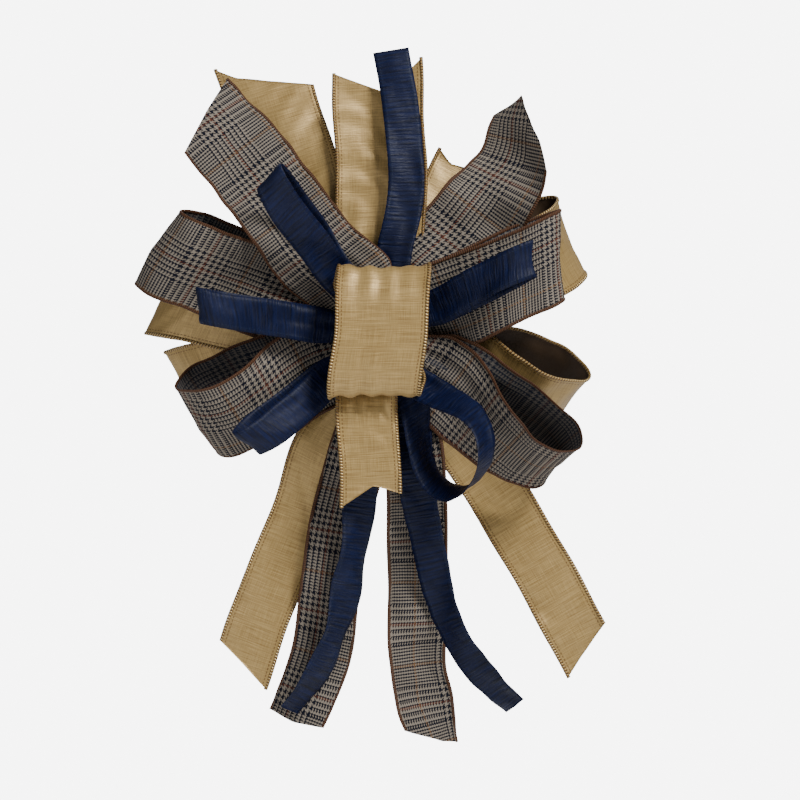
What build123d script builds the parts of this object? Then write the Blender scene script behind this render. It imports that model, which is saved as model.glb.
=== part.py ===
from build123d import *
import os
from math import cos, pi, radians, sin

os.makedirs("parts", exist_ok=True)

# ---------------------------------------------------------------- driving dimensions, mm
wide_ribbon = 63.5        # width of the gold and plaid ribbon in loops and upper tails
tail_ribbon = 42.0        # width of the gold and plaid ribbon in the lower tails
narrow_ribbon = 25.4      # width of the navy ribbon
ribbon_thickness = 0.5    # ribbon with its wired edge pressed flat
layer_gap = 1.0           # space between two pinched layers in the tie
layers = 21               # pinched layers that the tie holds, front to back
pinch_width = 13.0        # height of the pinched bundle inside the tie
pinch_run = 8.0           # straight pinched length on each side of the tie
gather_run = 40.0         # path length over which a ribbon opens to its full width
span_stations = 4         # cross-sections in each stretch of a ribbon's faces
side_gap = 0.15           # half the gap between left and right pieces in the tie
loop_scale = 1.0          # reach of all the loops
tail_scale = 1.0          # reach of all the tails

centre_loop_top = 47.0    # height of the centre loop above the tie
centre_loop_drop = 43.0   # and below it
centre_loop_depth = 34.0  # how far it stands off the bundle

wire_radius = 1.5         # chenille stem of the tie
tie_clearance = 0.7       # between the tie wire and the bundle
tie_tail = 62.0           # free length of each tie leg
leg_spread = 24.0         # angle of each leg from the back face
twist_length = 12.0       # twisted stub behind the bundle
twist_radius = 2.6
joint_gap = 0.3           # running gap between the twist and each leg
band_corner = 2.1         # bend radius of the wire at the bundle's corners

pitch = ribbon_thickness + layer_gap
bundle_front = -pitch * (layers - 1) / 2
band_back = pitch * layers / 2 + tie_clearance + 2 * wire_radius
hinge_back = band_back + joint_gap + twist_length + joint_gap + wire_radius
hinge_offset = wire_radius + 2 * joint_gap

# Each loop: side, first layer (front leg), ribbon width, fold point x, y, z, the clock angle of its
# width, the lean of the width's far end towards the viewer, and the opening of its belly.
loops = {
    "navy_loop_left_mid": (-1, 1, narrow_ribbon, (-125, -54, 19), 100, 10, 24),
    "navy_loop_upper_left": (-1, 3, narrow_ribbon, (-76, -66, 106), 40, 18, 22),
    "navy_loop_left_lower": (-1, 5, narrow_ribbon, (-92, -46, -76), 138, 22, 22),
    "plaid_loop_left_lower": (-1, 8, wide_ribbon, (-130, -10, -60), 120, 36, 36),
    "plaid_loop_left_upper": (-1, 10, wide_ribbon, (-157, -10, 62), 58, 17, 27),
    "gold_loop_left_upper": (-1, 16, wide_ribbon, (-154, 40, 30), 62, 4, 14),
    "gold_loop_left_lower": (-1, 18, wide_ribbon, (-142, 66, -39), 116, 0, 14),
    "navy_loop_right_upper": (1, 2, narrow_ribbon, (104, -58, 51), 96, 0, 20),
    "navy_loop_right_lower": (1, 4, narrow_ribbon, (64, -58, -101), 40, -55, 56),
    "plaid_loop_right_lower": (1, 6, wide_ribbon, (126, -12, -91), 49, 57, 32),
    "plaid_loop_right_upper": (1, 8, wide_ribbon, (126, -12, 56), 93, 10, 26),
    "gold_loop_right": (1, 16, wide_ribbon, (134, 44, -47), 56, 30, 24),
    "gold_loop_upper_right": (1, 18, wide_ribbon, (134, 54, 73), 115, 12, 24),
}

# Each tail: side, layer, ribbon width, then points x, y, z with the turn of the ribbon
# about its own length in degrees.
tails = {
    "gold_tail_bottom": (1, 1, tail_ribbon, [
        (-4, -14.5, -24, 0), (-10, -19.5, -45, 0), (-8, -21, -80, 0), (-7, -22, -118, 0),
    ]),
    "plaid_tail_upper_left": (-1, 7, wide_ribbon, [
        (-16, -6.5, 24, 0), (-40, -12.5, 52, -4), (-68, -19, 88, -16), (-94, -12, 122, -20),
        (-122, -6, 156, -25),
    ]),
    "navy_tail_lower_left": (-1, 12, narrow_ribbon, [
        (-8, 1.5, -30, 0), (-10, 0.5, -70, 0), (-14, 3, -112, 0), (-24, 5, -178, 20),
        (-42, 6, -232, 40), (-64, 7, -264, 50),
    ]),
    "plaid_tail_lower_left": (-1, 13, tail_ribbon, [
        (-8, 6, -30, 0), (-15, 10, -80, 0), (-26, 14, -119, 0), (-36, 18, -177, 0),
        (-42, 21, -222, 0), (-60, 24, -270, -20),
    ]),
    "gold_tail_lower_left": (-1, 14, tail_ribbon, [
        (-12, 8, -28, 0), (-36, 15, -70, 0), (-54, 22, -118, 0), (-79, 28, -180, 0),
        (-100, 32, -240, 0),
    ]),
    "gold_tail_upper_left": (-1, 15, wide_ribbon, [
        (-12, 7.7, 26, 0), (-36, 9.5, 60, 0), (-60, 20, 110, 0), (-84, 30, 186, 0),
    ]),
    "navy_tail_top": (1, 10, narrow_ribbon, [
        (9, 1, 30, 0), (15, 1, 82, 0), (16, 4, 140, 0), (7, 8, 200, 0),
    ]),
    "navy_tail_lower_right": (1, 11, narrow_ribbon, [
        (15, 2.2, -28, 0), (22, 4.2, -60, 0), (24, 4.4, -98, 0), (32, 3, -140, 0),
        (42, 4, -185, 10), (66, 4, -232, 10), (94, 4, -260, 10),
    ]),
    "plaid_tail_lower_right": (1, 12, tail_ribbon, [
        (10, 4.5, -30, 0), (20, 7, -70, 0), (25, 9, -120, 0), (26, 12, -180, 0),
        (27, 15, -243, 0), (40, 18, -286, 20),
    ]),
    "plaid_tail_upper_right": (1, 13, wide_ribbon, [
        (18, 4.5, 24, 0), (44, 6, 56, 0), (70, 6, 86, -4), (93, 6, 120, -20),
        (101, 6, 166, -40),
    ]),
    "gold_tail_top": (1, 14, wide_ribbon, [
        (4, 6.4, 30, 0), (0, 8, 87, 0), (-1, 12, 140, 0), (-3, 18, 194, 0),
    ]),
    "gold_tail_upper_right": (1, 20, wide_ribbon, [
        (14, 19, 26, 0), (36, 31, 56, 0), (52, 44, 90, 0), (65, 50, 126, 0),
    ]),
    "gold_tail_lower_right": (1, 15, tail_ribbon, [
        (18, 9, -26, 0), (48, 18, -64, 0), (78, 31, -105, 0), (107, 30, -153, 0),
        (147, 34, -226, 0),
    ]),
}


def layer_y(layer, side):
    """Left and right layers interleave, so that opened ribbons pass each other."""
    return bundle_front + pitch * layer + side * pitch / 4


def unit(v):
    return v * (1 / v.length)


def ribbon_width(run, full, pinch=pinch_width):
    """The pinched width at the tie, opening along a smooth step to the full width."""
    share = min(1, max(0, (run - pinch_run) / gather_run))
    return pinch + (full - pinch) * share * share * (3 - 2 * share)


def strip(points, width_dirs, widths, stations):
    """A ribbon as a solid: four edge splines through the corners of its cross-sections,
    ruled faces between them, and a flat face at each end."""
    path = Spline(*points)
    marks = [path.param_at_point(Vector(*p)) for p in points]
    corners, shares = [], []
    for i in range(stations + 1):
        t = (i / stations + (1 - cos(pi * i / stations)) / 2) / 2
        k = max(j for j in range(len(marks) - 1) if marks[j] <= t + 1e-9)
        s = min(1, (t - marks[k]) / (marks[k + 1] - marks[k]))
        across = unit(width_dirs[k] * (1 - s) + width_dirs[k + 1] * s)
        half = across * (widths(path.length * t, path.length) / 2)
        face = unit((path % t).cross(across)) * (ribbon_thickness / 2)
        centre = path @ t
        shares.append(t)
        near, far = centre + face, centre - face
        corners.append([near + half, near - half, far - half, far + half])
    rails = [Edge.make_spline(list(line), parameters=shares) for line in zip(*corners)]
    cuts = [0, *range(span_stations, stations - 1, span_stations), stations]
    faces = []
    for a, b in zip(cuts, cuts[1:]):
        part = [
            rail.trim(rail.param_at_point(corners[a][i]), rail.param_at_point(corners[b][i]))
            for i, rail in enumerate(rails)
        ]
        faces += [Face.make_surface_from_curves(part[i], part[(i + 1) % 4]) for i in range(4)]
    for end in (corners[0], corners[-1]):
        faces.append(Face(Wire(Polyline(*end, close=True).edges())))
    return Solid(Shell(faces))


def side_dir(heading, turn, side):
    """Width direction square to the heading, turned about the ribbon's own length."""
    square = heading.cross(Vector(0, 1, 0)) * side
    square = unit(Vector(square.X, 0, square.Z))
    return square * cos(radians(turn)) + Vector(0, -sin(radians(turn)), 0)


def neck(side, y):
    """Pinched start of a ribbon, straight out of the tie."""
    return [Vector(side * x, y, 0) for x in (side_gap, pinch_run / 2, pinch_run)]


def loop_solid(side, layer, full, fold, clock, lean, belly):
    """A ribbon out to its fold and back: a drop-shaped path square to its width."""
    y_front, y_back = layer_y(layer, side), layer_y(layer + 1, side)
    fold = Vector(*fold) * loop_scale
    start = Vector(0, (y_front + y_back) / 2, 0)
    reach = fold - start
    heading = unit(Vector(reach.X, 0, reach.Z))
    across = Vector(
        cos(radians(lean)) * cos(radians(clock)),
        -sin(radians(lean)),
        cos(radians(lean)) * sin(radians(clock)),
    )
    opening = unit(across.cross(reach))
    if opening.Y > 0:
        opening = opening * -1
    square = unit(heading.cross(Vector(0, 1, 0)) * side)
    flat_reach, lift = Vector(reach.X, 0, reach.Z), Vector(0, reach.Y, 0)
    profile = [(0.36, 0.07), (0.58, 0.32), (0.80, 0.50), (0.95, 0.34)]
    spine = [start + flat_reach * f + lift * f * f for f, g in profile]
    front = [p + opening * (belly * g) for p, (f, g) in zip(spine, profile)]
    back = [p - opening * (belly * g) for p, (f, g) in zip(spine, profile)]
    bend = heading * 22
    out = neck(side, y_front) + [Vector(bend.X, y_front, bend.Z)] + front
    home = neck(side, y_back) + [Vector(bend.X, y_back, bend.Z)] + back
    points = out + [fold] + home[::-1]
    up = Vector(0, 0, 1)
    turning = [up, up, up, square, unit(square * 5 + across), unit(square + across * 2), across, across]
    easing = turning + [across] + turning[::-1]

    def widths(run, length):
        return ribbon_width(min(run, length - run), full)

    return strip(points, easing, widths, 48)


def tail_solid(side, layer, full, rows):
    """A ribbon from the tie to its cut end, through the points of its rows."""
    y = layer_y(layer, side)
    points = neck(side, y) + [Vector(x, yy, z) * tail_scale for x, yy, z, turn in rows]
    dirs = [Vector(0, 0, 1)] * 3
    for i, row in enumerate(rows):
        a = points[i + 2]
        b = points[min(i + 4, len(points) - 1)]
        dirs.append(side_dir(unit(b - a), row[3], side))

    def widths(run, length):
        return ribbon_width(run, full)

    return strip(points, dirs, widths, 5 * len(rows))


def centre_loop():
    """One turn over the front: left neck, up, over, down the front, right neck."""
    y_left, y_right = layer_y(0, -1), layer_y(0, 1)
    front = bundle_front - centre_loop_depth
    top, drop = centre_loop_top, centre_loop_drop
    points = neck(-1, y_left) + [Vector(-5, y_left - 2.5, 20)]
    points += [Vector(0, y_left - 11, top - 5), Vector(1, y_left - 21, top)]
    points += [Vector(1, front + 4, top - 9), Vector(1, front, 0), Vector(0, front + 5, 12 - drop)]
    points += [Vector(0, y_right - 20, -drop), Vector(0, y_right - 11, 6 - drop)]
    points += [Vector(5, y_right - 2.5, -20)]
    points += neck(1, y_right)[::-1]
    up, right = Vector(0, 0, 1), Vector(1, 0, 0)
    dirs = [up] * 3 + [right] * 9 + [up] * 3

    def widths(run, length):
        return ribbon_width(min(run, length - run), wide_ribbon)

    return strip(points, dirs, widths, 48)


def tie_band():
    """The wire round the pinched bundle, a rounded rectangle seen from the side."""
    high = pinch_width + 2 * (tie_clearance + wire_radius)
    deep = 2 * (band_back - wire_radius)
    rim = (Plane.YZ * RectangleRounded(deep, high, band_corner)).face().outer_wire()
    return sweep(Plane(origin=rim @ 0, z_dir=rim % 0) * Circle(wire_radius), path=rim)


def tie_twist():
    """The two ends of the wire twisted together behind the bundle."""
    stub = extrude(Plane.XZ.offset(-band_back - joint_gap) * Circle(twist_radius), -twist_length)
    return chamfer(stub.edges(), wire_radius / 4)


def tie_leg(side):
    """One free end of the wire: a bent root beside the twist and a straight leg."""
    root = Vector(side * hinge_offset, hinge_back, 0)
    lean = radians(leg_spread)
    direction = Vector(side * cos(lean), sin(lean), 0)
    leg = extrude(Plane(origin=root, z_dir=direction) * Circle(wire_radius), tie_tail)
    tip = Pos(root + direction * tie_tail) * Sphere(wire_radius)
    return Pos(root) * Sphere(wire_radius) + leg + tip


for name, row in loops.items():
    export_step(loop_solid(*row), f"parts/{name}.step")
for name, row in tails.items():
    export_step(tail_solid(*row), f"parts/{name}.step")
export_step(centre_loop(), "parts/centre_loop.step")
export_step(tie_band(), "parts/tie_band.step")
export_step(tie_twist(), "parts/tie_twist.step")
export_step(tie_leg(-1), "parts/tie_leg_left.step")
export_step(tie_leg(1), "parts/tie_leg_right.step")
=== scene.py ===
import bpy
import numpy as np
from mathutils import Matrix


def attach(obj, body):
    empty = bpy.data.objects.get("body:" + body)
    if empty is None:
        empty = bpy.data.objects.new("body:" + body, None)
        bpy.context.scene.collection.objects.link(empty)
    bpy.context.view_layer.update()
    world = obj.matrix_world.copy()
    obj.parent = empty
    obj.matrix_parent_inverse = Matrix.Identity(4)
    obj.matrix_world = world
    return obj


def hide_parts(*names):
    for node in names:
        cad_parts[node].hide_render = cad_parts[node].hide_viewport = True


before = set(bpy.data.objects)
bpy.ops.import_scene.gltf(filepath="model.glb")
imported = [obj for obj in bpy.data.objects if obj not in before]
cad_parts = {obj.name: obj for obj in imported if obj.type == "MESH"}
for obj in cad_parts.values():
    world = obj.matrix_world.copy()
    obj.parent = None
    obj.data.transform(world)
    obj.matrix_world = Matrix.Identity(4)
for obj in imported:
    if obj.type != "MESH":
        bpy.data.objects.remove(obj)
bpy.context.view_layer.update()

# ---------------------------------------------------------------- studio
# A pale matt floor well below the hanging bow in bright plain air, a soft key light from the
# upper right front, weaker ones from the left and from behind, and a camera straight in front.
floor_mesh = bpy.data.meshes.new("studio_floor")
floor_mesh.from_pydata([(-3, -3, -0.9), (3, -3, -0.9), (3, 3, -0.9), (-3, 3, -0.9)], [], [(0, 1, 2, 3)])
paper = bpy.data.materials.new("studio_paper")
paper.use_nodes = True
paper.node_tree.nodes["Principled BSDF"].inputs["Base Color"].default_value = (0.9, 0.9, 0.9, 1)
paper.node_tree.nodes["Principled BSDF"].inputs["Roughness"].default_value = 0.9
paper.node_tree.nodes["Principled BSDF"].inputs["Emission Color"].default_value = (1, 1, 1, 1)
paper.node_tree.nodes["Principled BSDF"].inputs["Emission Strength"].default_value = 0.35
floor_mesh.materials.append(paper)
floor = bpy.data.objects.new("studio_floor", floor_mesh)
bpy.context.collection.objects.link(floor)

for light_name, place, turn, size, watts in [
    ("key", (0.95, -1.25, 1.2), (0.92, 0, 0.65), 0.6, 52),
    ("fill", (-1.1, -1.8, 0.1), (1.52, 0, -0.55), 0.9, 8),
    ("behind", (-0.6, 1.6, 1.4), (-0.85, 0, 0.36), 1.2, 16),
]:
    lamp = bpy.data.lights.new(light_name, "AREA")
    lamp.size = size
    lamp.energy = watts
    holder = bpy.data.objects.new(light_name, lamp)
    holder.location = place
    holder.rotation_euler = turn
    bpy.context.collection.objects.link(holder)
world = bpy.data.worlds.new("studio_air")
world.use_nodes = True
air = world.node_tree
air.nodes["Background"].inputs["Color"].default_value = (0.9, 0.93, 1.0, 1)
air.nodes["Background"].inputs["Strength"].default_value = 0.22
seen = air.nodes.new("ShaderNodeBackground")
seen.inputs["Color"].default_value = (1, 1, 1, 1)
seen.inputs["Strength"].default_value = 7.0
rays = air.nodes.new("ShaderNodeLightPath")
choose = air.nodes.new("ShaderNodeMixShader")
air.links.new(rays.outputs["Is Camera Ray"], choose.inputs[0])
air.links.new(air.nodes["Background"].outputs[0], choose.inputs[1])
air.links.new(seen.outputs[0], choose.inputs[2])
air.links.new(choose.outputs[0], air.nodes["World Output"].inputs["Surface"])
bpy.context.scene.world = world
lens = bpy.data.cameras.new("front_camera")
lens.lens = 141.4
lens.sensor_width = 36
viewpoint = bpy.data.objects.new("front_camera", lens)
viewpoint.location = (0.0133, -2.2, -0.0455)
viewpoint.rotation_euler = (np.pi / 2, 0, 0)
bpy.context.collection.objects.link(viewpoint)
bpy.context.scene.camera = viewpoint


# ---------------------------------------------------------------- chenille tie
# A brown chenille stem, short pile twisted into a thin wire. It goes once round the pinched
# ribbons, is twisted behind them, and its two ends are left long so that the bow can be tied on.
def piece_mesh(name, points, faces, looks, picks=None, marks=None):
    """One smooth object from a point array and a list of faces; picks are the material numbers
    of the faces, and marks is a vector kept on every point for the materials to read."""
    mesh = bpy.data.meshes.new(name)
    mesh.from_pydata(points.reshape(-1, 3).tolist(), [], faces)
    for look in looks:
        mesh.materials.append(look)
    mesh.polygons.foreach_set("use_smooth", np.ones(len(faces), dtype=bool))
    if picks is not None:
        mesh.polygons.foreach_set("material_index", picks.astype(np.int32))
    if marks is not None:
        kept = mesh.attributes.new("lay", "FLOAT_VECTOR", "POINT")
        kept.data.foreach_set("vector", marks.ravel())
    mesh.update()
    obj = bpy.data.objects.new(name, mesh)
    bpy.context.collection.objects.link(obj)
    return obj


def ring_faces(rows, around):
    """Quads of a tube whose grid has that many rows and points around, facing outwards."""
    r, a = np.meshgrid(np.arange(rows - 1), np.arange(around), indexing="ij")
    b = (a + 1) % around
    here, there = r * around, (r + 1) * around
    return np.stack([here + a, here + b, there + b, there + a], -1).reshape(-1, 4)


def chenille(name, centre, closed, pile=1.5e-3, count=5000):
    """A thin core tube along the centre line, and pile fibres as narrow blades that stand out
    from it in a tight spiral with a little scatter."""
    rng = np.random.default_rng(len(name))
    along = np.gradient(centre, axis=0)
    along /= np.linalg.norm(along, axis=1, keepdims=True)
    helper = np.where(np.abs(along[:, :1]) > 0.9, [[0.0, 1.0, 0.0]], [[1.0, 0.0, 0.0]])
    side = np.cross(along, helper)
    side /= np.linalg.norm(side, axis=1, keepdims=True)
    up = np.cross(along, side)
    angle = np.linspace(0, 2 * np.pi, 8, endpoint=False)
    core = centre[:, None] + 1.15e-3 * (
        side[:, None] * np.cos(angle)[:, None] + up[:, None] * np.sin(angle)[:, None]
    )
    faces = ring_faces(len(centre), 8)[:, ::-1]
    at = np.sort(rng.uniform(0, len(centre) - 1.001, count))
    k, part = at.astype(int), (at % 1)[:, None]
    foot = centre[k] * (1 - part) + centre[k + 1] * part
    turn = at * 2.1 + rng.normal(0, 0.5, count)
    out = side[k] * np.cos(turn)[:, None] + up[k] * np.sin(turn)[:, None]
    out += along[k] * rng.normal(0, 0.22, (count, 1))
    half = np.cross(out, along[k]) * 0.2e-3
    tip = foot + out * (pile * rng.uniform(0.72, 1.0, (count, 1)))
    blades = np.stack([foot - half, foot + half, tip + half * 0.4, tip - half * 0.4], 1)
    blade_faces = np.arange(count * 4).reshape(-1, 4) + core.shape[0] * 8
    ends = np.array([[*range(8)], [*range(core.shape[0] * 8 - 1, core.shape[0] * 8 - 9, -1)]])
    points = np.concatenate([core.reshape(-1, 3), blades.reshape(-1, 3)])
    everything = faces.tolist() + blade_faces.tolist() + ([] if closed else ends.tolist())
    obj = piece_mesh(name, points, everything, [pile_look])
    return obj


pile_look = bpy.data.materials.new("chenille_pile")
pile_look.use_nodes = True
skin = pile_look.node_tree.nodes["Principled BSDF"]
skin.inputs["Base Color"].default_value = (0.12, 0.06, 0.03, 1)
skin.inputs["Roughness"].default_value = 0.85
skin.inputs["Sheen Weight"].default_value = 0.4
skin.inputs["Sheen Roughness"].default_value = 0.4

turns = np.linspace(0, 2 * np.pi, 121)
band = np.stack([0 * turns, 17.95e-3 * np.cos(turns), 8.7e-3 * np.sin(turns)], 1)
corner = np.array([0, 17.95e-3, 8.7e-3])
squared = np.abs(band[:, 1:] / corner[1:]).clip(1e-6) ** 5
band[:, 1:] /= (squared.sum(1, keepdims=True)) ** 0.2
tie_band = chenille("tie_band_chenille", band, True, 1.4e-3, 9000)
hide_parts("tie_band")
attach(tie_band, "root")
steps = np.linspace(0, 1, 60)
spin = np.stack([1.05e-3 * np.cos(steps * 16), 0.0202 + 0.0108 * steps, 1.05e-3 * np.sin(steps * 16)], 1)
tie_twist = chenille("tie_twist_chenille", spin, False, 1.5e-3, 5000)
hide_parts("tie_twist")
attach(tie_twist, "root")
spread = np.radians(24)
for side_name, sign in [("left", -1), ("right", 1)]:
    reach = 0.0625 * steps[:, None] * np.array([[sign * np.cos(spread), np.sin(spread), 0]])
    root = [[sign * 2.1e-3, 33.55e-3, 0]]
    leg = chenille(f"tie_leg_{side_name}_chenille", reach + root, False, 1.5e-3, 9000)
    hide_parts(f"tie_leg_{side_name}")
    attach(leg, f"{side_name}_leg")


# ---------------------------------------------------------------- how a wired ribbon lies
# Every ribbon is a flat woven strip with a thin wire in both edges. It is gathered to a narrow
# neck under the tie, opens over about 40 mm, and keeps the bends that a hand has put in it.
def lay_out(points, across, full, is_loop, seed, cup, wave):
    """A natural cubic spline through the points, by chord length, with the width direction eased
    from point to point; returns a function that gives places on the ribbon for run and v."""
    p, a = np.array(points) * 1e-3, np.array(across)
    t = np.concatenate(([0], np.cumsum(np.linalg.norm(np.diff(p, axis=0), axis=1))))
    h, n = np.diff(t), len(p)
    system, pull = np.eye(n), np.zeros((n, 3))
    i = np.arange(1, n - 1)
    system[i, i - 1], system[i, i], system[i, i + 1] = h[i - 1], 2 * (h[i - 1] + h[i]), h[i]
    pull[i] = 6 * ((p[i + 1] - p[i]) / h[i, None] - (p[i] - p[i - 1]) / h[i - 1, None])
    bend = np.linalg.solve(system, pull)
    s = np.linspace(0, t[-1], 1200)
    k = np.clip(np.searchsorted(t, s, "right") - 1, 0, n - 2)
    u, w, g = (t[k + 1] - s)[:, None], (s - t[k])[:, None], h[k][:, None]
    line = (bend[k] * u**3 + bend[k + 1] * w**3) / (6 * g)
    line += (p[k] / g - bend[k] * g / 6) * u + (p[k + 1] / g - bend[k + 1] * g / 6) * w
    run = np.concatenate(([0], np.cumsum(np.linalg.norm(np.diff(line, axis=0), axis=1))))
    length = run[-1]
    wide = a[k] * (1 - w / g) + a[k + 1] * (w / g)
    even = np.linspace(0, length, 1200)
    line = np.stack([np.interp(even, run, line[:, c]) for c in range(3)], 1)
    wide = np.stack([np.interp(even, run, wide[:, c]) for c in range(3)], 1)
    kernel = np.hanning(61) / np.hanning(61).sum()
    wide = np.stack([np.convolve(np.pad(wide[:, c], 30, "edge"), kernel, "valid") for c in range(3)], 1)
    wide /= np.linalg.norm(wide, axis=1, keepdims=True)
    ahead = np.gradient(line, axis=0)
    normal = np.cross(ahead, wide)
    normal /= np.linalg.norm(normal, axis=1, keepdims=True)
    rng = np.random.default_rng(seed)
    phase, freq = rng.uniform(0, 6.28, (8, 2)), rng.uniform(0.6, 1.6, (8, 2))

    neck_width, pinch_run, gather_run = 13e-3, 8e-3, 40e-3

    def place(r, v):
        """Straight across the width at run r, then moved off the face by gathers that fade
        from the neck, a cup between the wired edges, and slow and quick waves."""
        q = np.clip(r, 0, length + 0.05) / length * 1199
        beyond = np.clip(r - length, 0, None)[..., None]
        q0 = np.clip(q, 0, 1198.999).astype(int)
        part = np.clip(q - q0, 0, 1)[..., None]
        c = line[q0] * (1 - part) + line[q0 + 1] * part + beyond * ahead[-1] / np.linalg.norm(ahead[-1])
        d = wide[q0] * (1 - part) + wide[q0 + 1] * part
        m = normal[q0] * (1 - part) + normal[q0 + 1] * part
        near = np.minimum(r, length - r) if is_loop else r
        open_ = np.clip((near - pinch_run) / gather_run, 0, 1)
        open_ = open_ * open_ * (3 - 2 * open_)
        width = neck_width + (full - neck_width) * open_
        width = width * (1 + 0.016 * open_ * np.sin(r * 95 + phase[0, 0] + np.sign(v)))
        neck = np.clip((near - 5e-3) / 20e-3, 0, None)
        folds = 1.9e-3 * neck * np.exp(1 - neck) * (full / 0.0635) ** 0.5
        count = 4.6 if full > 0.03 else 2.4
        facing = np.where(r > length / 2, -1.0, 1.0) if is_loop else 1.0
        off = np.sin(count * np.pi * v + phase[1, 0])
        off = off + 0.5 * np.sin(2.3 * count * v + phase[1, 1] + near * 30)
        off = off * folds * facing
        open_ = open_ * np.clip(near / 85e-3, 0, 1) if is_loop else open_
        off += open_ * cup * (v * v - 0.35) * (0.7 + 0.5 * np.sin(r * 33 + phase[2, 0]))
        off += open_ * wave * np.sin(r * 62 * freq[3, 0] + 1.6 * v + phase[3, 0])
        middling = np.sin(r * 125 * freq[4, 0] - 2.4 * v + phase[4, 0])
        off += open_ * wave * 0.6 * middling * np.cos(1.3 * v + phase[4, 1])
        quick = np.sin(r * 230 * freq[5, 0] + 4.5 * np.sin(2 * v + phase[5, 0]))
        off += open_ * wave * 0.3 * quick * np.sin(r * 47 + 2 * v + phase[5, 1])
        off += open_ * wave * 0.45 * np.sign(v) * v * v * np.sin(r * 150 * freq[6, 0] + phase[6, 0])
        return c + d * (v * width / 2)[..., None] + m * off[..., None], d, m

    return place, length, wide[-1, 0]


def loop_rows(side, layer, fold, clock, lean, belly):
    """Points and width directions of a ribbon that goes out to its fold and comes back: a drop
    in the plane square to the width, leaving the tie level and turning to its own heading."""
    clock, lean = np.radians(clock), np.radians(lean)
    y_front, y_back = -15 + 1.5 * layer + side * 0.375, -13.5 + 1.5 * layer + side * 0.375
    fold, start = np.array(fold, float), np.array([0, (y_front + y_back) / 2, 0])
    reach = fold - start
    flat, lift = reach * [1, 0, 1], reach * [0, 1, 0]
    heading = flat / np.linalg.norm(flat)
    tilt = np.array([np.cos(lean), np.sin(lean), np.cos(lean)])
    across = tilt * [np.cos(clock), -1, np.sin(clock)]
    opening = np.cross(across, reach)
    opening /= np.linalg.norm(opening) * (-1 if opening[1] > 0 else 1)
    square = np.cross(heading, [0, 1, 0]) * side
    shape = [(0.36, 0.07), (0.58, 0.32), (0.80, 0.50), (0.95, 0.34)]
    front = [start + flat * f + lift * f * f + opening * belly * g for f, g in shape]
    back = [start + flat * f + lift * f * f - opening * belly * g for f, g in shape]
    out = [[side * x, y_front, 0] for x in (0.15, 4, 8)] + [heading * 22 + [0, y_front, 0]] + front
    home = [[side * x, y_back, 0] for x in (0.15, 4, 8)] + [heading * 22 + [0, y_back, 0]] + back
    up = np.array([0, 0, 1.0])
    turning = [up, up, up, square, square * 5 + across, square + across * 2, across, across]
    turning = [d / np.linalg.norm(d) for d in turning]
    return out + [fold] + home[::-1], turning + [across] + turning[::-1], opening


def tail_rows(side, layer, rows):
    """Points and width directions of a ribbon that leaves the tie and runs to its cut end."""
    y = -15 + 1.5 * layer + side * 0.375
    points = [np.array([side * x, y, 0]) for x in (0.15, 4, 8)] + [np.array(r[:3], float) for r in rows]
    across = [np.array([0, 0, 1.0])] * 3
    for i, row in enumerate(rows):
        step = points[min(i + 4, len(points) - 1)] - points[i + 2]
        square = np.cross(step / np.linalg.norm(step), [0, 1, 0]) * side * [1, 0, 1]
        square /= np.linalg.norm(square)
        across.append(square * np.cos(np.radians(row[3])) - [0, np.sin(np.radians(row[3])), 0])
    return points, across, np.array([0, -1.0, 0])


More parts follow.
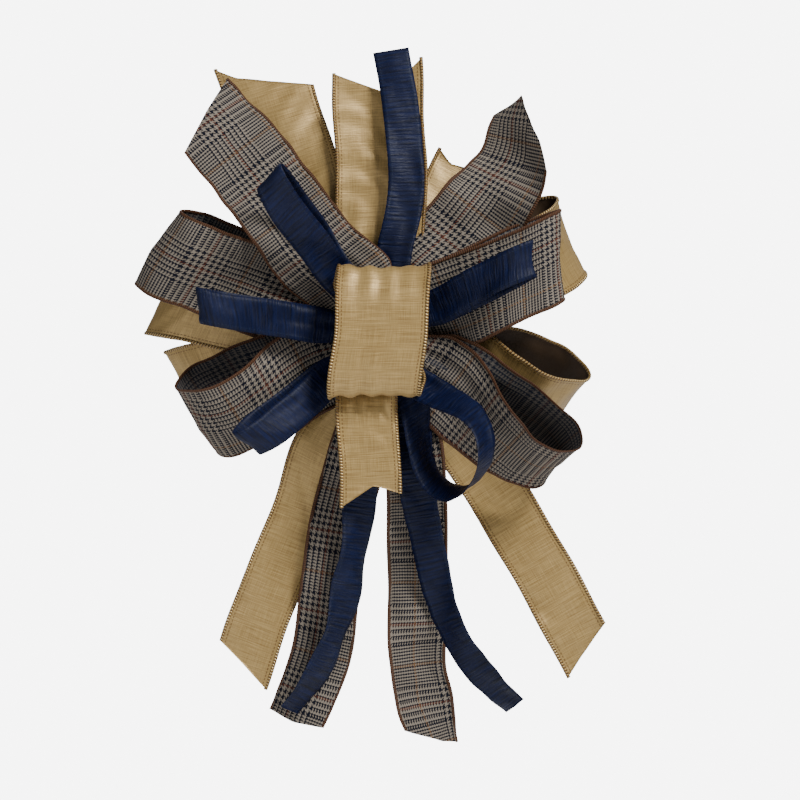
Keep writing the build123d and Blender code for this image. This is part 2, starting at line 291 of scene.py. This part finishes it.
def weave(name, points, across, outward, full, is_loop, cut, looks, slot, cup, wave, cord=None):
    """The ribbon as a front and a back sheet 0.4 mm apart closed round its rim. A cut end is a
    line through its left, middle and right corners. Its corded edges are tubes on the rim."""
    seed = sum(map(ord, name))
    place, length, last = lay_out(points, across, full, is_loop, seed, cup, wave)
    nu, nv = int(length / 2.3e-3), max(10, int(full / 2.6e-3))
    v = np.linspace(-1, 1, nv)
    left, middle, right, share = cut
    ends = (left, middle, right) if last > 0 else (right, middle, left)
    share = share if last > 0 else -share
    trim = np.interp(v, [-1, share, 1], ends) * 1e-3
    along = np.linspace(0, 1, nu)[:, None]
    r = along * (length + trim * np.clip(along * 3 - 2, 0, 1))
    rim_v = np.broadcast_to(v, r.shape)
    mid, _, face = place(r, rim_v)
    probe = nu * 5 // 16 if is_loop else nu - 2
    flip = -1 if face[probe, nv // 2] @ outward < 0 else 1
    front, back = mid + face * flip * 0.2e-3, mid - face * flip * 0.2e-3
    grid = np.concatenate([front, back[:, ::-1]], axis=1)
    faces = ring_faces(nu, 2 * nv)
    column = np.tile(np.arange(2 * nv), nu - 1)
    picks = ((column >= nv) & (column < 2 * nv - 1)).astype(int)
    caps = [[i, i + 1, 2 * nv - 2 - i, 2 * nv - 1 - i] for i in range(nv - 1)]
    tips = [[c + (nu - 1) * 2 * nv for c in row[::-1]] for row in caps]
    faces = np.concatenate([faces, caps, tips])
    picks = np.concatenate([picks, np.zeros(len(caps) * 2, int)])
    if flip > 0:
        faces = faces[:, ::-1]
    edge = (1 - np.abs(rim_v)) * full / 2
    marks = np.stack([rim_v * full / 2 + (seed % 17) * 3e-3, r + (seed % 29) * 4e-3, edge], -1)
    marks = np.concatenate([marks, marks[:, ::-1]], axis=1)
    cloth = piece_mesh(name + "_ribbon", grid, faces[:, ::-1].tolist(), looks, picks, marks)
    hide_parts(name)
    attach(cloth, "root")
    if cord:
        radius, flat, thread = cord
        twist_lay, start_run = 2.1e-3, 4e-3
        turn = np.linspace(0, 2 * np.pi, 9)[:-1]
        tubes, tube_faces, tube_marks = [], [], []
        for rim in (-1, 1):
            steps = int(length / 0.8e-3)
            rr = np.linspace(start_run, 1, steps) * (length + (trim[-1] if rim > 0 else trim[0]))
            if is_loop:
                rr = np.linspace(start_run, length - start_run, steps)
            core, d, m = place(rr, np.full(steps, float(rim)))
            ring = core[:, None] + radius * (
                d[:, None] * np.cos(turn)[:, None] + m[:, None] * np.sin(turn)[:, None] * flat
            ) - d[:, None] * rim * radius * 0.6
            lumps = 1 + 0.1 * np.sin(2 * np.pi * rr[:, None] / twist_lay + turn)
            ring = core[:, None] + (ring - core[:, None]) * lumps[..., None]
            tube_faces.append(ring_faces(steps, 8) + sum(len(t) for t in tubes))
            tubes.append(ring.reshape(-1, 3))
            spiral = rr[:, None] / twist_lay + turn / (2 * np.pi)
            mark = np.stack(np.broadcast_arrays(spiral, rr[:, None], 0.0), -1)
            tube_marks.append(mark.reshape(-1, 3))
        ends_faces = []
        for start, rows in zip(np.cumsum([0] + [len(t) for t in tubes[:-1]]), tubes):
            first, final = np.arange(8) + start, np.arange(8) + start + len(rows) - 8
            ends_faces += [first[::-1].tolist(), final.tolist()]
        rim_faces = np.concatenate(tube_faces).tolist() + ends_faces
        rim_marks = np.concatenate(tube_marks)
        trimming = piece_mesh(name + "_edges", np.concatenate(tubes), rim_faces, [thread], None, rim_marks)
        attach(trimming, "root")
    return cloth


def calc(tree, op, a, b=0.0, c=0.0):
    """One math node; the inputs are sockets or numbers."""
    n = tree.nodes.new("ShaderNodeMath")
    n.operation = op
    for socket, value in zip(n.inputs, (a, b, c)):
        if hasattr(value, "is_linked"):
            tree.links.new(value, socket)
        else:
            socket.default_value = value
    return n.outputs[0]


def blend(tree, share, first, second):
    """A colour between first and second."""
    n = tree.nodes.new("ShaderNodeMix")
    n.data_type = "RGBA"
    for socket, value in zip((n.inputs[0], n.inputs[6], n.inputs[7]), (share, first, second)):
        if hasattr(value, "is_linked"):
            tree.links.new(value, socket)
        else:
            socket.default_value = value
    return n.outputs[2]


def new_group(name):
    """A shader group that gives a colour and a height from the lay of the ribbon; returns it
    with its output node and the three numbers of the lay: across, run and distance to the rim."""
    group = bpy.data.node_groups.new(name, "ShaderNodeTree")
    group.interface.new_socket("Colour", in_out="OUTPUT", socket_type="NodeSocketColor")
    group.interface.new_socket("Height", in_out="OUTPUT", socket_type="NodeSocketFloat")
    mark = group.nodes.new("ShaderNodeAttribute")
    mark.attribute_name = "lay"
    split = group.nodes.new("ShaderNodeSeparateXYZ")
    group.links.new(mark.outputs["Vector"], split.inputs[0])
    return group, group.nodes.new("NodeGroupOutput"), split.outputs


def streaks(tree, run, across, scale_run, scale_across, detail=3.0):
    """Noise drawn out along one direction of the ribbon, from 0 to 1."""
    join = tree.nodes.new("ShaderNodeCombineXYZ")
    tree.links.new(calc(tree, "MULTIPLY", across, scale_across), join.inputs[0])
    tree.links.new(calc(tree, "MULTIPLY", run, scale_run), join.inputs[1])
    noise = tree.nodes.new("ShaderNodeTexNoise")
    noise.inputs["Scale"].default_value = 1.0
    noise.inputs["Detail"].default_value = detail
    tree.links.new(join.outputs[0], noise.inputs["Vector"])
    return noise.outputs[0]


def cloth_look(name, group, rough, sheen, metal, bump, tint=None, gloss=0.5):
    """A cloth material fed by a weave group: its colour, and its height as bump."""
    look = bpy.data.materials.new(name)
    look.use_nodes = True
    tree = look.node_tree
    use = tree.nodes.new("ShaderNodeGroup")
    use.node_tree = group
    shader = tree.nodes["Principled BSDF"]
    colour = use.outputs["Colour"]
    if tint:
        colour = blend(tree, tint[3], colour, (*tint[:3], 1))
    tree.links.new(colour, shader.inputs["Base Color"])
    shader.inputs["Roughness"].default_value = rough
    shader.inputs["Metallic"].default_value = metal
    shader.inputs["Sheen Weight"].default_value = sheen
    shader.inputs["Sheen Roughness"].default_value = 0.45
    shader.inputs["Specular IOR Level"].default_value = gloss
    relief = tree.nodes.new("ShaderNodeBump")
    relief.inputs["Strength"].default_value = bump
    relief.inputs["Distance"].default_value = 0.5e-3
    tree.links.new(use.outputs["Height"], relief.inputs["Height"])
    tree.links.new(relief.outputs[0], shader.inputs["Normal"])
    return look


# ---------------------------------------------------------------- champagne ribbon
# Champagne-gold taffeta with slubs across its width and a dark brown back, 63.5 mm wide. Each
# edge is overlocked over the wire with a twisted gold, brown and white cord, with a line of
# darker gold stitches just inside it.
slub, slub_out, (across_s, run_s, rim_s) = new_group("slub_taffeta")
thick = streaks(slub, run_s, across_s, 1300, 45)
thin = streaks(slub, run_s, across_s, 2600, 160)
warp = streaks(slub, run_s, across_s, 60, 2400)
tone = calc(slub, "ADD", calc(slub, "MULTIPLY", thick, 0.6), calc(slub, "MULTIPLY", warp, 0.4))
stitch = calc(slub, "COMPARE", rim_s, 3.9e-3, 0.45e-3)
dash = calc(slub, "LESS_THAN", calc(slub, "FRACT", calc(slub, "MULTIPLY", run_s, 380)), 0.62)
stitch = calc(slub, "MULTIPLY", stitch, dash)
lift = calc(slub, "SUBTRACT", calc(slub, "MULTIPLY", tone, 2.6), 0.8)
lift = calc(slub, "SMOOTH_MAX", lift, 0.0, 0.1)
ground = blend(slub, lift, (0.22, 0.128, 0.034, 1), (0.53, 0.36, 0.135, 1))
sewn = blend(slub, calc(slub, "MULTIPLY", stitch, 0.75), ground, (0.14, 0.07, 0.015, 1))
slub.links.new(sewn, slub_out.inputs[0])
height = calc(slub, "ADD", calc(slub, "MULTIPLY", thick, 0.8), calc(slub, "MULTIPLY", thin, 0.5))
slub.links.new(calc(slub, "ADD", height, calc(slub, "MULTIPLY", stitch, 0.7)), slub_out.inputs[1])
gold_front = cloth_look("champagne_taffeta", slub, 0.40, 0.08, 0.35, 0.45)
gold_back = cloth_look("champagne_brown_back", slub, 0.6, 0.05, 0.0, 0.35, (0.030, 0.013, 0.005, 0.95))

cord, cord_out, (spiral_c, _, _) = new_group("metal_cord")
step_c = calc(cord, "FRACT", spiral_c)
pale = calc(cord, "LESS_THAN", step_c, 0.30)
brown = calc(cord, "GREATER_THAN", step_c, 0.68)
mix_c = blend(cord, pale, (0.24, 0.13, 0.03, 1), (0.50, 0.37, 0.17, 1))
cord.links.new(blend(cord, brown, mix_c, (0.07, 0.03, 0.01, 1)), cord_out.inputs[0])
cord.links.new(calc(cord, "SINE", calc(cord, "MULTIPLY", step_c, np.pi)), cord_out.inputs[1])
gold_cord = cloth_look("overlock_cord", cord, 0.38, 0.0, 0.45, 0.8)

gold_looks = [gold_front, gold_back]
gold_edge = (1.35e-3, 0.72, gold_cord)
no_cut = (0, 0, 0, 0)
for name, side, layer, fold, clock, lean, belly in [
    ("gold_loop_left_upper", -1, 16, (-154, 40, 30), 62, 4, 14),
    ("gold_loop_left_lower", -1, 18, (-142, 66, -39), 116, 0, 14),
    ("gold_loop_right", 1, 16, (134, 44, -47), 56, 40, 34),
    ("gold_loop_upper_right", 1, 18, (134, 54, 73), 115, 26, 34),
]:
    rows = loop_rows(side, layer, fold, clock, lean, belly)
    weave(name, *rows, 63.5e-3, True, no_cut, gold_looks, "gold_ribbon", 2.2e-3, 0.9e-3, gold_edge)
for name, side, layer, full, rows, cut in [
    ("gold_tail_bottom", 1, 1, 42e-3, [
        (-4, -14.5, -24, 0), (-10, -19.5, -45, 0), (-8, -21, -80, 0), (-7, -22, -118, 0),
    ], (2, -13, -7, 0.1)),
    ("gold_tail_lower_left", -1, 14, 42e-3, [
        (-12, 8, -28, 0), (-36, 15, -70, 0), (-54, 22, -118, 0), (-79, 28, -180, 0),
        (-100, 32, -240, 0),
    ], (-17, -7, 5, 0)),
    ("gold_tail_upper_left", -1, 15, 63.5e-3, [
        (-12, 7.7, 26, 0), (-36, 9.5, 60, 0), (-60, 20, 110, 0), (-84, 30, 186, 0),
    ], (14, 3, -18, -0.6)),
    ("gold_tail_top", 1, 14, 63.5e-3, [
        (4, 6.4, 30, 0), (0, 8, 87, 0), (-1, 12, 140, 0), (-3, 18, 194, 0),
    ], (-8, -23, 1, 0.15)),
    ("gold_tail_upper_right", 1, 20, 63.5e-3, [
        (14, 19, 26, 0), (36, 31, 56, 0), (55, 44, 90, 0), (72, 50, 125, 0),
    ], (-4, -11, 0, -0.6)),
    ("gold_tail_lower_right", 1, 15, 42e-3, [
        (18, 9, -26, 0), (48, 18, -64, 0), (78, 31, -105, 0), (107, 30, -153, 0),
        (147, 34, -226, 0),
    ], (8, -3, -14, 0)),
]:
    rows = tail_rows(side, layer, rows)
    weave(name, *rows, full, False, cut, gold_looks, "gold_ribbon", 2.4e-3, 1.3e-3, gold_edge)


# ---------------------------------------------------------------- glen check ribbon
# A wool-look glen check, 63.5 mm wide: navy-black and cream yarns, four and four in one block
# and two and two in the next, woven in a 2/2 twill, with rust and tan lines through the middle
# of each block. The wired edge is stitched over in rust brown, and the back is greyer.
check, check_out, (across_g, run_g, _) = new_group("glen_check")
warp_no = calc(check, "FLOOR", calc(check, "DIVIDE", across_g, 0.475e-3))
weft_no = calc(check, "FLOOR", calc(check, "DIVIDE", run_g, 0.56e-3))
yarns = []
for number, block in [(warp_no, 64), (weft_no, 52)]:
    big = calc(check, "LESS_THAN", calc(check, "FLOORED_MODULO", number, 2 * block), block)
    four = calc(check, "LESS_THAN", calc(check, "FLOORED_MODULO", number, 8), 4)
    two = calc(check, "LESS_THAN", calc(check, "FLOORED_MODULO", number, 4), 2)
    small = calc(check, "SUBTRACT", 1.0, big)
    dark = calc(check, "ADD", calc(check, "MULTIPLY", four, big), calc(check, "MULTIPLY", two, small))
    line = calc(check, "COMPARE", calc(check, "FLOORED_MODULO", number, block), block / 2, 1.6)
    yarn = blend(check, dark, (0.25, 0.212, 0.168, 1), (0.0018, 0.003, 0.009, 1))
    accent = blend(check, big, (0.15, 0.075, 0.028, 1), (0.11, 0.028, 0.010, 1))
    yarns.append(blend(check, calc(check, "MULTIPLY", line, 0.85), yarn, accent))
twill = calc(check, "FLOORED_MODULO", calc(check, "ADD", warp_no, weft_no), 4)
over = calc(check, "LESS_THAN", twill, 2)
fuzz = streaks(check, run_g, across_g, 1500, 1500)
woven = blend(check, over, yarns[1], yarns[0])
nap = blend(check, calc(check, "MULTIPLY", fuzz, 0.3), woven, (0.014, 0.015, 0.021, 1))
check.links.new(nap, check_out.inputs[0])
check.links.new(calc(check, "ADD", calc(check, "MULTIPLY", over, 0.4), fuzz), check_out.inputs[1])
plaid_front = cloth_look("glen_check_face", check, 0.85, 0.0, 0.0, 0.3, gloss=0.12)
grey = (0.02, 0.026, 0.04, 0.45)
plaid_back = cloth_look("glen_check_back", check, 0.82, 0.05, 0.0, 0.3, grey, gloss=0.1)

rust, rust_out, (_, run_r, _) = new_group("rust_stitching")
step_r = calc(rust, "FRACT", calc(rust, "MULTIPLY", run_r, 720))
ridge = calc(rust, "SINE", calc(rust, "MULTIPLY", step_r, np.pi))
# The thread goes from rust on the raised stitches to near black in the gaps between them, following the
# stitch relief: painted shade in the gaps.
thread_gap_shaded = blend(rust, ridge, (0.014, 0.005, 0.002, 1), (0.095, 0.038, 0.015, 1))
rust.links.new(thread_gap_shaded, rust_out.inputs[0])
rust.links.new(ridge, rust_out.inputs[1])
rust_edge = (1.25e-3, 0.45, cloth_look("rust_overlock", rust, 0.55, 0.0, 0.0, 0.7, gloss=0.25))
plaid_looks = [plaid_front, plaid_back]
for name, side, layer, fold, clock, lean, belly in [
    ("plaid_loop_left_lower", -1, 8, (-130, -10, -60), 120, 36, 36),
    ("plaid_loop_left_upper", -1, 10, (-157, -10, 62), 58, 17, 27),
    ("plaid_loop_right_lower", 1, 6, (126, -12, -91), 49, 57, 32),
    ("plaid_loop_right_upper", 1, 8, (126, -12, 56), 93, 10, 26),
]:
    rows = loop_rows(side, layer, fold, clock, lean, belly)
    weave(name, *rows, 63.5e-3, True, no_cut, plaid_looks, "plaid_ribbon", 1.8e-3, 1.1e-3, rust_edge)
for name, side, layer, full, rows, cut in [
    ("plaid_tail_upper_left", -1, 7, 63.5e-3, [
        (-16, -6.5, 24, 0), (-40, -12.5, 52, -4), (-68, -19, 88, -16), (-94, -12, 122, -20),
        (-122, -6, 156, -25),
    ], (-14, 0, 11, 0)),
    ("plaid_tail_lower_left", -1, 13, 42e-3, [
        (-8, 6, -30, 0), (-15, 10, -80, 0), (-26, 14, -119, 0), (-36, 18, -177, 0),
        (-42, 21, -222, 0), (-60, 24, -270, -20),
    ], (2, 4, 0, 0)),
    ("plaid_tail_lower_right", 1, 12, 42e-3, [
        (10, 4.5, -30, 0), (20, 7, -70, 0), (25, 9, -120, 0), (26, 12, -180, 0),
        (27, 15, -243, -20), (37, 18, -286, -40),
    ], (-12, 2, 6, 0.3)),
    ("plaid_tail_upper_right", 1, 13, 63.5e-3, [
        (18, 4.5, 24, 0), (44, 6, 56, 0), (70, 6, 86, -4), (93, 6, 120, -38), (101, 6, 166, -60),
    ], (-14, 3, -45, -0.2)),
]:
    rows = tail_rows(side, layer, rows)
    weave(name, *rows, full, False, cut, plaid_looks, "plaid_ribbon", 2.2e-3, 1.9e-3, rust_edge)


# ---------------------------------------------------------------- navy ribbon
# Navy faux dupioni, 25.4 mm wide, crinkled across its width, with a hem turned over each wire
# and held by a line of stitches about 3 mm in from the edge.
crinkle, crinkle_out, (across_n, run_n, rim_n) = new_group("navy_crinkle")
creases = streaks(crinkle, run_n, across_n, 520, 45, 4.0)
threads = streaks(crinkle, run_n, across_n, 2600, 300)
hem = calc(crinkle, "COMPARE", rim_n, 2.9e-3, 0.35e-3)
gap = calc(crinkle, "LESS_THAN", calc(crinkle, "FRACT", calc(crinkle, "MULTIPLY", run_n, 420)), 0.5)
hem = calc(crinkle, "MULTIPLY", hem, gap)
# The navy is darker in the crease hollows and lighter on the crinkle ridges, following the same noise as
# the crinkle relief: painted shade and painted light of the crinkles.
crease_shade_n = calc(crinkle, "SUBTRACT", calc(crinkle, "MULTIPLY", creases, 2.4), 0.7)
crease_shaded_navy = blend(crinkle, crease_shade_n, (0.0003, 0.0012, 0.0085, 1), (0.0018, 0.0068, 0.042, 1))
sewn_n = blend(crinkle, calc(crinkle, "MULTIPLY", hem, 0.8), crease_shaded_navy, (0.008, 0.015, 0.04, 1))
crinkle.links.new(sewn_n, crinkle_out.inputs[0])
relief_n = calc(crinkle, "MULTIPLY", creases, 2.2)
relief_n = calc(crinkle, "ADD", relief_n, calc(crinkle, "MULTIPLY", threads, 0.3))
crinkle.links.new(calc(crinkle, "SUBTRACT", relief_n, hem), crinkle_out.inputs[1])
navy_front = cloth_look("navy_dupioni", crinkle, 0.48, 0.0, 0.0, 1.0, gloss=0.22)
navy_looks = [navy_front, navy_front]
for name, side, layer, fold, clock, lean, belly in [
    ("navy_loop_left_mid", -1, 1, (-125, -54, 19), 100, 10, 24),
    ("navy_loop_upper_left", -1, 3, (-76, -66, 106), 40, 18, 22),
    ("navy_loop_left_lower", -1, 5, (-92, -46, -76), 138, 22, 22),
    ("navy_loop_right_upper", 1, 2, (104, -58, 51), 96, 0, 20),
    ("navy_loop_right_lower", 1, 4, (64, -54, -101), 40, -52, 64),
]:
    rows = loop_rows(side, layer, fold, clock, lean, belly)
    weave(name, *rows, 25.4e-3, True, no_cut, navy_looks, "navy_ribbon", 1.0e-3, 1.1e-3)
for name, side, layer, rows in [
    ("navy_tail_lower_left", -1, 12, [
        (-8, 1.5, -30, 0), (-10, 0.5, -70, 15), (-14, 3, -112, 30), (-24, 5, -178, 42),
        (-42, 6, -232, 50), (-64, 7, -264, 60),
    ]),
    ("navy_tail_top", 1, 10, [
        (9, -0.5, 30, 0), (15, -3.5, 82, 0), (16, 0, 140, 0), (7, 6, 200, 0),
    ]),
    ("navy_tail_lower_right", 1, 11, [
        (15, 2.2, -28, 0), (22, 3.4, -60, 0), (24, 1.0, -98, 5), (32, -1, -140, 22),
        (42, 0, -185, 36), (66, 2, -232, 42), (94, 4, -260, 46),
    ]),
]:
    rows = tail_rows(side, layer, rows)
    weave(name, *rows, 25.4e-3, False, no_cut, navy_looks, "navy_ribbon", 1.0e-3, 1.3e-3)


# ---------------------------------------------------------------- centre loop
# One more turn of the champagne ribbon over the front hides the tie: it leaves the tie on the
# left, rises, passes flat down the front and goes back under on the right.
fore, low = -49.0, -43.0
points = [[-0.15, -15.375, 0], [-4, -15.375, 0], [-8, -15.375, 0], [-5, -17.875, 20]]
points += [[0, -26.375, 42], [2, -36.375, 47], [2, fore + 4, 38], [0, fore, 0]]
points += [[-4, fore + 5, low + 12], [-4, -34.625, low], [-2, -25.625, low + 6]]
points += [[5, -17.125, -20]]
points += [[8, -14.625, 0], [4, -14.625, 0], [0.15, -14.625, 0]]
across = [np.array([0, 0, 1.0])] * 3 + [np.array([1.0, 0, 0])] * 9 + [np.array([0, 0, 1.0])] * 3
rows = points, across, np.array([0, -1.0, 0])
weave("centre_loop", *rows, 63.5e-3, True, no_cut, gold_looks, "gold_ribbon", 1.4e-3, 0.8e-3, gold_edge)
